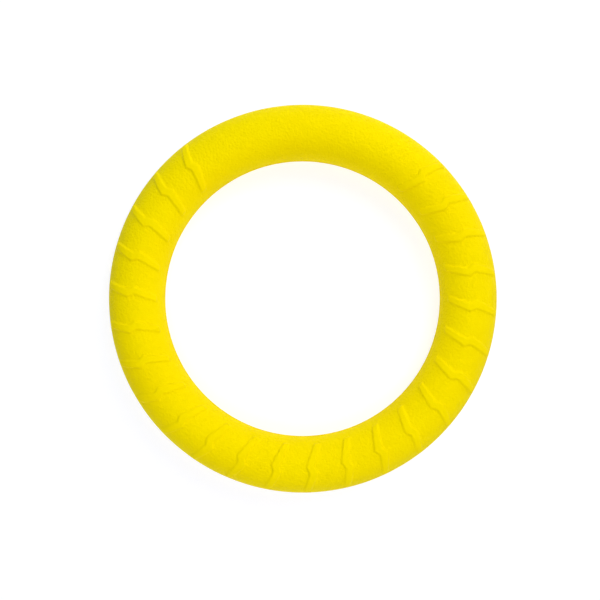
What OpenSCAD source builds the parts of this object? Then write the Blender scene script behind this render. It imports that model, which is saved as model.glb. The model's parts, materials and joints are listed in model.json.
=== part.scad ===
// Flying ring: a closed-cell foam throwing ring, moulded as two half-round
// rings that are bonded face to face at the mid-plane. Each half is a light
// foam core under a dense moulded skin, and the skin carries raised wave ribs
// for grip, apart from one plain stretch. All sizes are in millimetres.
//
// Frame: origin at the centre of the ring, +Z along its axis, and the middle
// of the plain stretch on +Y.

/* [Ring] */
// Outside diameter, over the outer seam
ring_d = 280; // [240:1:320]
// Diameter of the round tube, without ribs or seams
tube_d = 40; // [34:0.5:46]

/* [Layers] */
// Thickness of the dense moulded skin over the foam core
skin_t = 2; // [1.4:0.1:4]
// Thickness of the adhesive film that bonds the two halves
glue_t = 0.3; // [0.1:0.05:0.6]

/* [Seams] */
// Width of a trimmed seam, measured along the axis
seam_w = 2; // [1.2:0.1:3]
// Height of a trimmed seam above the round tube
seam_h = 0.3; // [0.1:0.05:0.6]
// Depth to which a seam is fused into the skins
seam_depth = 1; // [0.5:0.1:1.2]

/* [Ribs] */
// Rib positions in the full circle
rib_positions = 30; // [24:1:36]
// Neighbouring rib positions left out, which makes the plain stretch
plain_positions = 6; // [2:1:10]
// Height of a rib above the tube
rib_h = 1.2; // [0.4:0.1:2]
// Width of a rib at its waist
rib_waist_w = 6; // [4:0.1:8]
// Width of a rib at its two ends
rib_end_w = 4.4; // [3:0.1:6]
// Angle round the tube from its crown to a rib's end
rib_end_angle = 54.5; // [40:0.5:65]
// Angle round the tube from its crown to a rib's bends
rib_bend_angle = 6; // [5:0.5:15]
// Sideways lean of a rib at its outer end
rib_outer_lean = 5; // [2:0.1:6]
// Sideways lean of a rib at its inner end, to the other side
rib_inner_lean = 4.6; // [2:0.1:6]
// Sideways lean of a rib at its bends, each against its own end's lean
rib_bend_lean = 1; // [0:0.1:2]

/* [Hidden] */

$fn = 180;
tube_fn = 96;
// How far a cutting shape reaches past what it cuts
overcut = 1;

tube_r = tube_d / 2;
core_r = tube_r - skin_t;
rib_r = tube_r + rib_h;
rib_root_r = tube_r - skin_t / 2;

// Radius of the circle that the tube's centre follows
mid_r = ring_d / 2 - seam_h - tube_r;
hole_r = mid_r - tube_r - seam_h;

rib_pitch = 360 / rib_positions;
rib_count = rib_positions - plain_positions;
// Angle from the middle of the plain stretch to the first rib
first_rib = (plain_positions + 1) * rib_pitch / 2;

skin_colour = [0.98, 0.9, 0.02];
seam_colour = [0.93, 0.85, 0.05];
core_colour = [0.95, 0.88, 0.25];
glue_colour = [0.9, 0.87, 0.6];

// The solid that a section in the r-z plane sweeps round the ring's axis. The
// sweep starts in the plain stretch, clear of the ribs.
module swept() {
    rotate([0, 0, 90]) rotate_extrude() children();
}

// A rectangle in the r-z plane
module section_box(r_from, r_to, z_from, z_to) {
    translate([r_from, z_from]) square([r_to - r_from, z_to - z_from]);
}

// The tube's round section, of any radius, above the mid-plane by a gap
module half_disc(r, gap) {
    intersection() {
        translate([mid_r, 0]) circle(r = r, $fn = tube_fn);
        section_box(mid_r - r - overcut, mid_r + r + overcut, gap, r + overcut);
    }
}

// Half of the tube's wall, between two radii round the tube's centre
module half_wall(r_in, r_out, gap) {
    difference() {
        half_disc(r_out, gap);
        translate([mid_r, 0]) circle(r = r_in, $fn = tube_fn);
    }
}

module outer_seam_section() {
    section_box(mid_r + tube_r - seam_depth, mid_r + tube_r + seam_h,
                -seam_w / 2, seam_w / 2);
}

module inner_seam_section() {
    section_box(hole_r, mid_r - tube_r + seam_depth, -seam_w / 2, seam_w / 2);
}

// A point of a rib's outline: an angle round the tube from its crown, seen
// from above, and a place across the rib
function rib_point(angle, across) = [mid_r + tube_r * sin(angle), across];

// Stations along a rib, from its inner end to its outer end:
// [angle round the tube, centreline's place, half width]
rib_stations = [
    [-rib_end_angle, rib_inner_lean, rib_end_w / 2],
    [-rib_bend_angle, -rib_bend_lean, rib_waist_w / 2],
    [rib_bend_angle, rib_bend_lean, rib_waist_w / 2],
    [rib_end_angle, -rib_outer_lean, rib_end_w / 2]
];

// One wave rib's outline, seen from above, as it lies on +X
module rib_outline() {
    there = [for (s = rib_stations) rib_point(s[0], s[1] - s[2])];
    back = [for (i = [len(rib_stations) - 1:-1:0])
        let (s = rib_stations[i]) rib_point(s[0], s[1] + s[2])];
    polygon(concat(there, back));
}

// All the ribs of one half, rooted in the middle of the skin
module ribs() {
    intersection() {
        swept() half_wall(rib_root_r, rib_r, seam_w / 2);
        for (i = [0:rib_count - 1]) {
            rotate([0, 0, 90 + first_rib + i * rib_pitch])
                linear_extrude(height = rib_r + overcut) rib_outline();
        }
    }
}

module moulded_skin() {
    swept() difference() {
        half_wall(core_r, tube_r, glue_t / 2);
        outer_seam_section();
        inner_seam_section();
    }
    ribs();
}

module foam_core() {
    swept() half_disc(core_r, glue_t / 2);
}

// Turns an upper half into a lower half, with the plain stretch still on +Y
module turned_over() {
    rotate([0, 180, 0]) children();
}

module foam_core_upper() {
    color(core_colour) foam_core();
}

module foam_core_lower() {
    color(core_colour) turned_over() foam_core();
}

// The adhesive reaches from seam to seam
module glue_film() {
    color(glue_colour) swept()
        section_box(mid_r - tube_r + seam_depth, mid_r + tube_r - seam_depth,
                    -glue_t / 2, glue_t / 2);
}

module upper_skin() {
    color(skin_colour) moulded_skin();
}

module lower_skin() {
    color(skin_colour) turned_over() moulded_skin();
}

// The outer parting line, where both skins fuse and the flash is trimmed
module outer_seam() {
    color(seam_colour) swept() outer_seam_section();
}

// The same round the hole, which is the ring's narrowest bore
module inner_seam() {
    color(seam_colour) swept() inner_seam_section();
}

foam_core_upper();
foam_core_lower();
glue_film();
upper_skin();
lower_skin();
outer_seam();
inner_seam();
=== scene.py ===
"""The looks of a foam flying ring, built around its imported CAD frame.

Two moulded skins with raised wave ribs, and the two trimmed seams where the
skins meet, take the place of their CAD nodes. The foam cores and the adhesive
film inside keep their CAD meshes. Sizes are in metres, +Z is up along the
ring's axis, and the middle of the plain stretch is on +Y.
"""

import json
import math

import bpy
import numpy as np
from mathutils import Matrix, Vector, noise

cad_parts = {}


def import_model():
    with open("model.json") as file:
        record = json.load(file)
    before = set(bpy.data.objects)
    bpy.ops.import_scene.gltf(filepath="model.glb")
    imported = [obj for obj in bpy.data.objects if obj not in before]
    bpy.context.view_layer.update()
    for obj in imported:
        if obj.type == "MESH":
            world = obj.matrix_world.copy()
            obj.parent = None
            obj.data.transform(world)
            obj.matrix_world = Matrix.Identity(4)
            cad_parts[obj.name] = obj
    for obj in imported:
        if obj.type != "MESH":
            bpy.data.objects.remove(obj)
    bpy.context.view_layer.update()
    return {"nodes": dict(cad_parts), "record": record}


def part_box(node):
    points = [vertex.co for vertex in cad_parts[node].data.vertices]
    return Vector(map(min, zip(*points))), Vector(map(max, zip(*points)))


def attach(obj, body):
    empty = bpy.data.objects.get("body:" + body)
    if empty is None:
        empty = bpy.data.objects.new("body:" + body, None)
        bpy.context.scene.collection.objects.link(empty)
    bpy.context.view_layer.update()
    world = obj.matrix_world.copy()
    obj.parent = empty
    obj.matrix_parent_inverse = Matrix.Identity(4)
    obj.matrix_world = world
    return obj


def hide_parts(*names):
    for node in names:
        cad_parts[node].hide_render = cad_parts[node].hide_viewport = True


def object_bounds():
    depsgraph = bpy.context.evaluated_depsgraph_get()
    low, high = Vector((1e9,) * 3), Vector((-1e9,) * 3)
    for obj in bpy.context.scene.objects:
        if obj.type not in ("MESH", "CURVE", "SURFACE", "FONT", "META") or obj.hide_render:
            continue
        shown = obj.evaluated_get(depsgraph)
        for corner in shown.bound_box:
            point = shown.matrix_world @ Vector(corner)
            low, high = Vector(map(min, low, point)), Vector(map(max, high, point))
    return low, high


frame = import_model()

MM = 0.001

# ---------------------------------------------------------------- sizes

# The same as in the CAD
seam_h = 0.3 * MM
seam_depth = 1.0 * MM
rib_positions = 30
plain_positions = 6
rib_waist_half_w = 3.0 * MM
rib_end_half_w = 2.2 * MM
rib_end_angle = math.radians(54.5)
rib_bend_angle = math.radians(6)
rib_outer_lean = 5.0 * MM
rib_inner_lean = 4.6 * MM
rib_bend_lean = 1.0 * MM

# Taken from the frame, so that the pieces sit exactly where the CAD says
mounts = {m["name"]: m for m in frame["record"]["mounts"]}
hole_r = mounts["centre_hole"]["dims"]["r_mm"] * MM
outer_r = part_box("outer_seam")[1].x
seam_half_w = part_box("outer_seam")[1].z
mid_r = (outer_r + hole_r) / 2
core_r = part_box("foam_core_upper")[1].z
glue_half_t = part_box("glue_film")[1].z
tube_r = outer_r - mid_r - seam_h
rib_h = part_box("upper_skin")[1].z - tube_r

# Where a rib's ends and bends are: u is an arc length round the tube from its crown
rib_end_u = tube_r * rib_end_angle
rib_bend_u = tube_r * rib_bend_angle

# What moulding does to a rib: the width of its sloping flanks, the radius of
# its corners, how far its bends are rounded, and how far its top falls away
rib_flank_w = 1.8 * MM
rib_corner_r = 1.2 * MM
rib_bend_soften = 0.35 * MM
rib_crown_h = 0.12 * MM

# Unevenness of pressed foam, as the spacing and height of its swellings. It
# fades out over an angle beside each seam.
broad_spacing = 24 * MM
broad_h = 0.06 * MM
fine_spacing = 1.7 * MM
fine_h = 0.03 * MM
fade_angle = math.radians(12)

# A trimmed seam: its gap to each skin, its soft edges, the hairline along its
# middle, and the depth of its trimming marks and how closely they follow
seam_gap = 0.02 * MM
seam_edge = 0.2 * MM
hairline_w = 0.12 * MM
hairline_depth = 0.08 * MM
trim_depth = 0.05 * MM
trim_closeness = 40

# Fineness of the meshes, and the angle from which an edge is sharp
skin_rows = 96
inside_rows = 20
seam_rows = 15
seam_columns = 720
crease_angle = math.radians(50)

# Angles round the ring: from one rib to the next, and to the plain stretch's middle
pitch = 2 * math.pi / rib_positions
plain_centre = math.pi / 2


# ---------------------------------------------------------------- ribs

def rib_lean(u):
    """The sideways place of a rib's centreline at u. + is counter-clockwise."""
    stations = [-rib_end_u, -rib_bend_u, rib_bend_u, rib_end_u]
    places = [rib_inner_lean, -rib_bend_lean, rib_bend_lean, -rib_outer_lean]
    around = np.linspace(-1, 1, 9) * rib_bend_soften
    return sum(np.interp(u + k, stations, places) for k in around) / len(around)


def rib_half_w(u):
    """Half the rib's width at u."""
    along = np.clip((np.abs(u) - rib_bend_u) / (rib_end_u - rib_bend_u), 0, 1)
    return rib_waist_half_w + (rib_end_half_w - rib_waist_half_w) * along


def rib_height(across, u):
    """Height of a rib above the tube, at a distance across from its centreline and at u."""
    side = np.abs(across) - rib_half_w(u) + rib_corner_r
    end = np.abs(u) - rib_end_u + rib_corner_r
    outside = np.hypot(np.maximum(side, 0), np.maximum(end, 0))
    edge = outside + np.minimum(np.maximum(side, end), 0) - rib_corner_r
    t = np.clip(0.5 - edge / rib_flank_w, 0, 1)
    shoulder = t * t * (3 - 2 * t)
    crown = rib_crown_h * np.clip(across / rib_waist_half_w, -1, 1) ** 2
    return (rib_h - crown) * shoulder


# ---------------------------------------------------------------- mesh helpers

def ring_points(theta, r, z):
    """Points from angles round the ring's axis, distances from the axis, and heights."""
    theta, r, z = np.broadcast_arrays(theta, r, z)
    return np.stack([r * np.cos(theta), r * np.sin(theta), z], -1)


def closed_tube(name, points):
    """A mesh object from a grid of points, closed both ways.

    The grid's columns go round the ring, and its rows go round the section.
    """
    columns, rows = points.shape[:2]
    column, row = np.meshgrid(np.arange(columns), np.arange(rows), indexing="ij")
    next_column = (column + 1) % columns
    next_row = (row + 1) % rows
    corners = [(column, row), (next_column, row), (next_column, next_row), (column, next_row)]
    faces = np.stack([c * rows + r for c, r in corners], -1).reshape(-1, 4)
    mesh = bpy.data.meshes.new(name)
    mesh.from_pydata(points.reshape(-1, 3), [], faces.tolist())
    mesh.update()
    mesh.shade_smooth()
    mesh.set_sharp_from_angle(angle=crease_angle)
    piece = bpy.data.objects.new(name, mesh)
    bpy.context.scene.collection.objects.link(piece)
    return piece


# ---------------------------------------------------------------- skins

def pitch_columns():
    """Columns across one rib pitch, close together on the rib's flanks.

    Each is a share of the rib's half width, a distance beyond that, and a
    share of the gap between the flanks of two ribs.
    """
    flank = np.linspace(-1.3, 1.3, 8) * MM
    half = [(0.0, 0.0, 0.0), (0.4, 0.0, 0.0)]
    half += [(1.0, d, 0.0) for d in flank]
    half += [(1.0, flank[-1], g) for g in (0.22, 0.48, 0.74, 1.0)]
    mirrored = [(-w, -d, -g) for w, d, g in half[1:-1]]
    return np.array(mirrored[::-1] + half)


def unevenness(theta, psi, seed):
    """The change of the tube's radius at each point of a skin's outside."""
    psi = np.broadcast_to(psi, theta.shape)
    r = mid_r + tube_r * np.sin(psi)
    points = ring_points(theta, r, tube_r * np.cos(psi)).reshape(-1, 3)
    broad = [noise.noise(Vector(p) / broad_spacing + Vector((seed, 0, 0))) for p in points]
    fine = [noise.noise(Vector(p) / fine_spacing + Vector((0, seed, 0))) for p in points]
    change = broad_h * np.array(broad) + fine_h * np.array(fine)
    fade = np.clip((math.pi / 2 - np.abs(psi)) / fade_angle, 0, 1)
    return change.reshape(theta.shape) * fade


def outside_grid(psi):
    """The angle round the ring of each point of a skin's outside, and how far a rib raises it.

    psi holds the rows' angles round the tube from its crown.
    """
    u = tube_r * psi
    tube = mid_r + tube_r * np.sin(psi)
    columns = pitch_columns()
    half_w = rib_half_w(u)
    gap = tube * pitch / 2 - half_w - columns[:, 1].max()
    across = columns[:, :1] * half_w + columns[:, 1:2] + columns[:, 2:] * gap
    height = rib_height(across, u)

    theta, raised = [], []
    for k in range(rib_positions):
        angle = plain_centre + (k + 0.5) * pitch
        theta.append(angle + (across + rib_lean(u)) / tube)
        plain = k < plain_positions / 2 or k >= rib_positions - plain_positions / 2
        raised.append(np.zeros_like(height) if plain else height)
    return np.concatenate(theta), np.concatenate(raised)


def inside_section():
    """Distances from the axis and heights of a skin's inside, from the hole outwards."""
    inner_edge = math.asin(glue_half_t / core_r)
    phi = np.linspace(-math.pi / 2 + inner_edge, math.pi / 2 - inner_edge, inside_rows)
    r = np.concatenate([
        [mid_r - tube_r + seam_depth] * 2,
        mid_r + core_r * np.sin(phi),
        [mid_r + tube_r - seam_depth] * 2,
    ])
    z = np.concatenate([
        [seam_half_w, glue_half_t],
        core_r * np.cos(phi),
        [glue_half_t, seam_half_w],
    ])
    return r, z


def skin(name, turned_over):
    """One moulded skin with its ribs, a closed shell.

    Its rows run over the outside, from the outer seam to the inner one, and
    back along the face that meets the core. on_rib tells the material how far
    each point is raised.
    """
    edge_angle = math.asin(seam_half_w / tube_r)
    psi = np.linspace(math.pi / 2 - edge_angle, -math.pi / 2 + edge_angle, skin_rows)
    theta, raised = outside_grid(psi)
    rho = tube_r + raised + unevenness(theta, psi, 7.0 if turned_over else 0.0)
    outside = ring_points(theta, mid_r + rho * np.sin(psi), rho * np.cos(psi))

    r, z = inside_section()
    share = np.linspace(0, 1, len(r))
    inside_theta = theta[:, -1:] * (1 - share) + theta[:, :1] * share
    inside = ring_points(inside_theta, r, z)

    points = np.concatenate([outside, inside], 1)
    if turned_over:
        points = points * np.array([-1, 1, -1])
    piece = closed_tube(name, points)
    on_rib = np.zeros(points.shape[:2])
    on_rib[:, :skin_rows] = raised / rib_h
    attribute = piece.data.attributes.new("on_rib", "FLOAT", "POINT")
    attribute.data.foreach_set("value", on_rib.ravel())
    return piece


# ---------------------------------------------------------------- seams

def seam(name, side, seed):
    """A trimmed seam: a low flat band with soft edges, and a hairline where the skins fuse.

    side is +1 for the outer seam and -1 for the one round the hole.
    """
    wall = outer_r if side > 0 else hole_r
    root = wall - side * (seam_h + seam_depth)
    angle = np.linspace(0, 2 * math.pi, seam_columns, endpoint=False)
    z = np.linspace(-1, 1, seam_rows) * (seam_half_w - seam_gap)
    lift = np.interp(np.abs(z), [seam_half_w - seam_edge, seam_half_w], [0, -seam_edge])
    lift = lift - hairline_depth * np.exp(-(z / hairline_w) ** 2)
    places = ring_points(angle, trim_closeness, seed)
    trim = np.array([noise.noise(Vector(place)) for place in places])
    face_r = wall + side * (lift[None, :] + trim_depth * (trim[:, None] - 1))
    face = ring_points(angle[:, None], face_r, z)
    back = ring_points(angle[:, None], root, z[[-1, 0]])
    points = np.concatenate([face, back], 1)
    if side < 0:
        points = points[:, ::-1]
    return closed_tube(name, points)


# ---------------------------------------------------------------- materials

yellow_gloss = (1, 0.82, 0.02, 1)


def add(tree, kind, **values):
    """A new node of one kind, with its sockets and properties set by name."""
    node = tree.nodes.new(kind)
    for key, value in values.items():
        if key in node.inputs:
            node.inputs[key].default_value = value
        else:
            setattr(node, key, value)
    return node


def node_material(name):
    """A new material with its node tree, its Principled shader, and the place on the object."""
    material = bpy.data.materials.new(name)
    material.use_nodes = True
    tree = material.node_tree
    shader = tree.nodes["Principled BSDF"]
    place = add(tree, "ShaderNodeTexCoord").outputs["Object"]
    return material, tree, shader, place


def texture(tree, place, kind, output, **values):
    """One output of a texture node that is laid out by place."""
    node = add(tree, kind, **values)
    tree.links.new(place, node.inputs["Vector"])
    return node.outputs[output]


def scaled(tree, source, low, high):
    """A number from 0 to 1 spread between two values."""
    spread = add(tree, "ShaderNodeMapRange")
    spread.inputs["To Min"].default_value = low
    spread.inputs["To Max"].default_value = high
    tree.links.new(source, spread.inputs["Value"])
    return spread.outputs["Result"]


def colour_mix(tree, share, first, second):
    """A colour between two colours."""
    mix = add(tree, "ShaderNodeMix", data_type="RGBA")
    mix.inputs[6].default_value = (*first, 1)
    mix.inputs[7].default_value = (*second, 1)
    tree.links.new(share, mix.inputs["Factor"])
    return mix.outputs[2]


def set_relief(tree, shader, height, strength, distance):
    """Lets a height dent the surface."""
    bump = add(tree, "ShaderNodeBump", Strength=strength, Distance=distance)
    tree.links.new(height, bump.inputs["Height"])
    tree.links.new(bump.outputs["Normal"], shader.inputs["Normal"])
    return bump


def set_colour(tree, shader, share, first, second):
    """Lets the base colour vary between two colours."""
    tree.links.new(colour_mix(tree, share, first, second), shader.inputs["Base Color"])


def set_roughness(tree, shader, share, low, high):
    """Lets the roughness vary between two values."""
    tree.links.new(scaled(tree, share, low, high), shader.inputs["Roughness"])


def set_gloss(shader, level):
    """The weak gloss of the yellow foam."""
    shader.inputs["Specular IOR Level"].default_value = level
    shader.inputs["Specular Tint"].default_value = yellow_gloss


def skin_material():
    """Pressed yellow foam skin: a fine leather grain, weaker on the ribs, and faint blotches."""
    material, tree, shader, place = node_material("moulded_foam_skin")

    warp = texture(tree, place, "ShaderNodeTexNoise", "Color", Scale=420.0, Detail=2.0)
    warped = add(tree, "ShaderNodeMix", data_type="VECTOR")
    warped.inputs["Factor"].default_value = 0.0007
    tree.links.new(place, warped.inputs[4])
    tree.links.new(warp, warped.inputs[5])

    cells = texture(tree, warped.outputs[1], "ShaderNodeTexVoronoi", "Distance",
                    feature="SMOOTH_F1", Scale=620.0, Randomness=1.0, Smoothness=0.6)
    pores = texture(tree, place, "ShaderNodeTexNoise", "Fac", Scale=2600.0, Detail=3.0)
    grain = add(tree, "ShaderNodeMath", operation="MULTIPLY_ADD")
    grain.inputs[1].default_value = 0.35
    tree.links.new(pores, grain.inputs[0])
    tree.links.new(cells, grain.inputs[2])
    bump = set_relief(tree, shader, grain.outputs[0], strength=1.0, distance=0.4 * MM)
    bump.invert = True
    on_rib = add(tree, "ShaderNodeAttribute", attribute_name="on_rib").outputs["Fac"]
    tree.links.new(scaled(tree, on_rib, 1.0, 0.45), bump.inputs["Strength"])

    blotches = texture(tree, place, "ShaderNodeTexNoise", "Fac", Scale=28.0, Detail=3.0)
    set_colour(tree, shader, blotches, (0.895, 0.71, 0.0), (0.935, 0.775, 0.0))
    set_roughness(tree, shader, pores, 0.5, 0.66)
    set_gloss(shader, 0.03)
    return material


def seam_material():
    """The trimmed flash: the same foam, smoother, with faint marks of trimming along it."""
    material, tree, shader, place = node_material("trimmed_foam_seam")
    marks = texture(tree, place, "ShaderNodeTexNoise", "Fac", Scale=900.0, Detail=2.0)
    set_relief(tree, shader, marks, strength=0.3, distance=0.1 * MM)
    set_colour(tree, shader, marks, (0.83, 0.65, 0.0), (0.89, 0.71, 0.0))
    set_roughness(tree, shader, marks, 0.55, 0.75)
    set_gloss(shader, 0.08)
    return material


def core_material():
    """The light foam inside: fine closed cells."""
    material, tree, shader, place = node_material("foam_core_cells")
    cells = texture(tree, place, "ShaderNodeTexVoronoi", "Distance", Scale=2500.0)
    set_relief(tree, shader, cells, strength=0.6, distance=0.2 * MM)
    set_colour(tree, shader, cells, (0.95, 0.80, 0.12), (0.86, 0.68, 0.05))
    set_roughness(tree, shader, cells, 0.75, 0.9)
    return material


def glue_material():
    """The cured adhesive film between the two halves."""
    material, tree, shader, place = node_material("cured_adhesive")
    streaks = texture(tree, place, "ShaderNodeTexNoise", "Fac", Scale=180.0, Detail=4.0)
    set_relief(tree, shader, streaks, strength=0.4, distance=0.1 * MM)
    set_colour(tree, shader, streaks, (0.72, 0.60, 0.25), (0.85, 0.76, 0.42))
    set_roughness(tree, shader, streaks, 0.25, 0.45)
    return material


def floor_material():
    """Plain pale studio paper that glows a little, so that it comes out white."""
    material, tree, shader, place = node_material("pale_studio_paper")
    fibres = texture(tree, place, "ShaderNodeTexNoise", "Fac", Scale=300.0, Detail=4.0)
    set_colour(tree, shader, fibres, (0.41, 0.41, 0.41), (0.45, 0.45, 0.45))
    shader.inputs["Roughness"].default_value = 0.9
    shader.inputs["Emission Color"].default_value = (0.89, 0.905, 1, 1)
    shader.inputs["Emission Strength"].default_value = 0.74
    return material


# ---------------------------------------------------------------- camera and light

def camera():
    """Looks down on the ring, nearly along its axis, as the product photograph does."""
    lens = bpy.data.cameras.new("camera")
    lens.sensor_width = 36
    lens.lens = 42.68
    lens.clip_start = 0.01
    lens.shift_x = -0.0033
    lens.shift_y = -0.0022
    eye = bpy.data.objects.new("camera", lens)
    eye.rotation_euler = (0, math.radians(1.1), math.radians(2.4))
    eye.location = eye.rotation_euler.to_matrix() @ Vector((0, 0, 0.515))
    bpy.context.scene.collection.objects.link(eye)
    bpy.context.scene.camera = eye


def softbox(name, azimuth, elevation, distance, power, colour, softness=0.55):
    """A soft light that looks at the ring from an azimuth, counted from +X, and an elevation."""
    lamp = bpy.data.lights.new(name, "AREA")
    lamp.shape = "SQUARE"
    lamp.size = softness * distance
    lamp.energy = power
    lamp.color = colour
    light = bpy.data.objects.new(name, lamp)
    light.visible_camera = False
    bpy.context.scene.collection.objects.link(light)
    a, e = math.radians(azimuth), math.radians(elevation)
    direction = Vector((math.cos(a) * math.cos(e), math.sin(a) * math.cos(e), math.sin(e)))
    light.matrix_world = (
        Matrix.Translation(direction * distance)
        @ direction.to_track_quat("Z", "Y").to_matrix().to_4x4()
    )


def floor():
    """A sheet of paper out to the horizon, at the height that the lowest ribs touch."""
    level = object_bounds()[0].z
    reach = 40.0
    corners = [(-reach, -reach), (reach, -reach), (reach, reach), (-reach, reach)]
    mesh = bpy.data.meshes.new("studio_floor")
    mesh.from_pydata([(x, y, level) for x, y in corners], [], [(0, 1, 2, 3)])
    mesh.materials.append(floor_material())
    sheet = bpy.data.objects.new("studio_floor", mesh)
    bpy.context.scene.collection.objects.link(sheet)


def world():
    """Dim white fill from the room.

    The camera sees a pale backdrop in its place, which has the far floor's
    colour at the horizon and darkens upwards.
    """
    studio = bpy.data.worlds.new("studio")
    studio.use_nodes = True
    tree = studio.node_tree
    direction = add(tree, "ShaderNodeSeparateXYZ")
    tree.links.new(add(tree, "ShaderNodeTexCoord").outputs["Generated"], direction.inputs["Vector"])
    backdrop = colour_mix(tree, direction.outputs["Z"], (0.86, 0.88, 0.95), (0.3, 0.31, 0.34))
    room = add(tree, "ShaderNodeMix", data_type="RGBA")
    room.inputs[6].default_value = (0.367, 0.39, 0.39, 1)
    tree.links.new(backdrop, room.inputs[7])
    tree.links.new(add(tree, "ShaderNodeLightPath").outputs["Is Camera Ray"], room.inputs["Factor"])
    tree.links.new(room.outputs[2], tree.nodes["Background"].inputs["Color"])
    bpy.context.scene.world = studio


# ---------------------------------------------------------------- assembly

skin_finish = skin_material()
seam_finish = seam_material()
core_finish = core_material()
glue_finish = glue_material()

for name, node, turned_over in (
    ("upper_skin_ribbed", "upper_skin", False),
    ("lower_skin_ribbed", "lower_skin", True),
):
    piece = skin(name, turned_over)
    piece.data.materials.append(skin_finish)
    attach(piece, "root")
    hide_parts(node)

for name, node, side, seed in (
    ("outer_seam_trimmed", "outer_seam", 1, 3.0),
    ("inner_seam_trimmed", "inner_seam", -1, 11.0),
):
    piece = seam(name, side, seed)
    piece.data.materials.append(seam_finish)
    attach(piece, "root")
    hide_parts(node)

for node, finish in (
    ("foam_core_upper", core_finish),
    ("foam_core_lower", core_finish),
    ("glue_film", glue_finish),
):
    materials = frame["nodes"][node].data.materials
    materials.clear()
    materials.append(finish)

camera()
floor()
world()
softbox("key_far", azimuth=45, elevation=30, distance=6, power=72, colour=(1, 0.95, 0.92))
softbox("front_far", azimuth=270, elevation=12, distance=6, power=35, colour=(1, 0.93, 0.9),
        softness=0.4)
softbox("key_near", azimuth=60, elevation=50, distance=0.8, power=2.7, colour=(1, 0.88, 0.85))
softbox("front_near", azimuth=270, elevation=60, distance=0.6, power=0.98, colour=(1, 0.93, 0.9))
softbox("back_near", azimuth=120, elevation=35, distance=0.6, power=0.22, colour=(0.5, 1, 1))
bpy.context.scene.view_settings.view_transform = "Standard"
